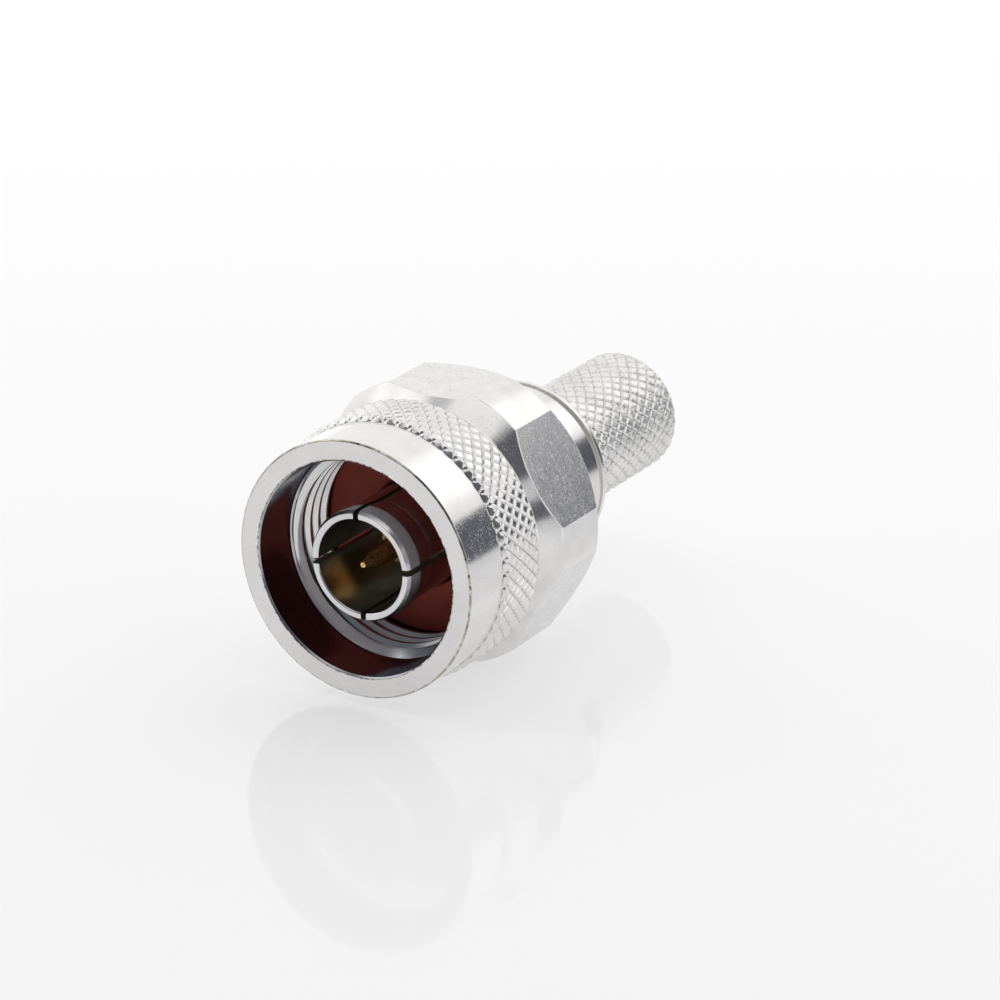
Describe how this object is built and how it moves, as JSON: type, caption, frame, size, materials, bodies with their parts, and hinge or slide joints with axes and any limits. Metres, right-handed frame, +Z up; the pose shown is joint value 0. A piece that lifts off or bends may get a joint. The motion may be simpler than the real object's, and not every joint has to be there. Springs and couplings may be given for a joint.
{
  "type": "n type connector",
  "caption": "Coaxial cable plug with a free-turning hexagonal coupling nut, slotted outer contact, centre pin, red face gasket and knurled crimp stem.",
  "frame": {"origin": "on the ground under the middle of the plug's length and under its axis, with the plug lying on one wrench flat", "axes": "+Y along the plug's axis from the mating face to the cable end, +Z up out of the flat it lies on, +X to the right when looking along +Y"},
  "size_m": [0.0218, 0.039, 0.0204],
  "materials": {
    "plated_nut": "satin",
    "plated_body": "satin",
    "plated_stem": "satin",
    "plated_contact": "satin",
    "gold_contact": "gloss",
    "spring_bronze": "satin",
    "red_silicone": "matte",
    "white_bead": "satin"
  },
  "bodies": {
    "shell": {"connector_body": "plated_body", "outer_contact": "plated_contact", "insulator": "white_bead", "centre_contact": "gold_contact", "face_gasket": "red_silicone", "crimp_stem": "plated_stem"},
    "ring": {"retaining_ring": "spring_bronze"},
    "nut": {"coupling_nut": "plated_nut"}
  },
  "joints": [
    {"name": "nut_float", "type": "slide", "parent": "shell", "child": "ring", "axis": [0, 1, 0], "range_m": [-0.00015, 0.00015]},
    {"name": "nut_turn", "type": "hinge", "parent": "ring", "child": "nut", "pos_m": [0, -0.00613, 0.0102], "axis": [0, 1, 0], "continuous": true}
  ]
}
